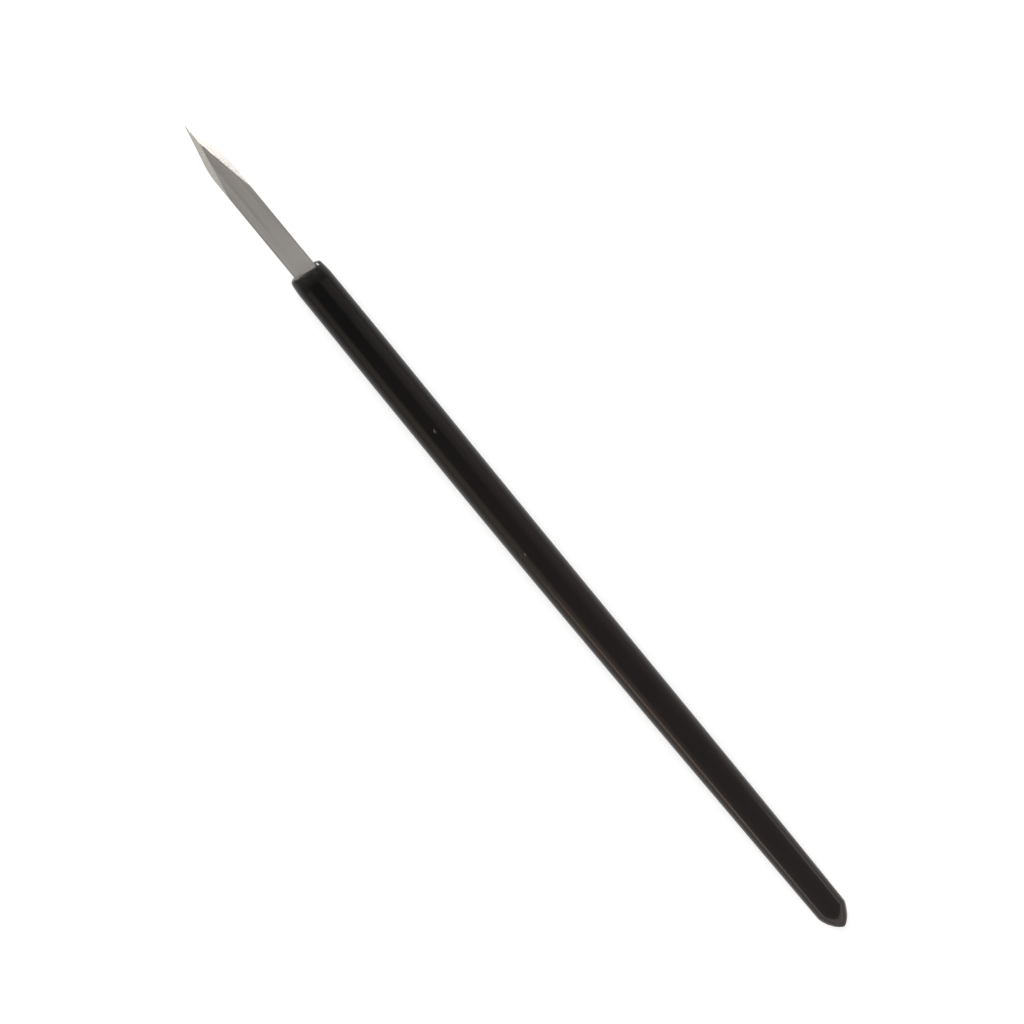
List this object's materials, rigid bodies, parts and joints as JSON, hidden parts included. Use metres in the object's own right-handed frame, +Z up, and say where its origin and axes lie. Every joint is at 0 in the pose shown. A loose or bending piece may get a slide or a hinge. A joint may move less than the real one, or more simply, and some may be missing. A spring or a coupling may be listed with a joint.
{
  "type": "hand scraper",
  "caption": "Pencil-shaped hand scraper: a narrow steel strip with a double-edged spear point, cemented by its tang into a slim turned black handle.",
  "frame": {"origin": "bottom centre of the whole tool as it lies on a bench", "axes": "+X along the tool towards its point, +Z up, square to the blade's upper flat"},
  "size_m": [0.17, 0.0066, 0.0065],
  "materials": {
    "ground_steel": "flats brushed along the strip, bevels ground to bright edges",
    "black_enamel": "turned hardwood under a glossy dipped coat of black enamel",
    "set_resin": "hard set cement, hidden in the bore"
  },
  "bodies": {
    "root": {"blade": "ground_steel", "handle": "black_enamel", "tang_cement": "set_resin"}
  },
  "joints": []
}
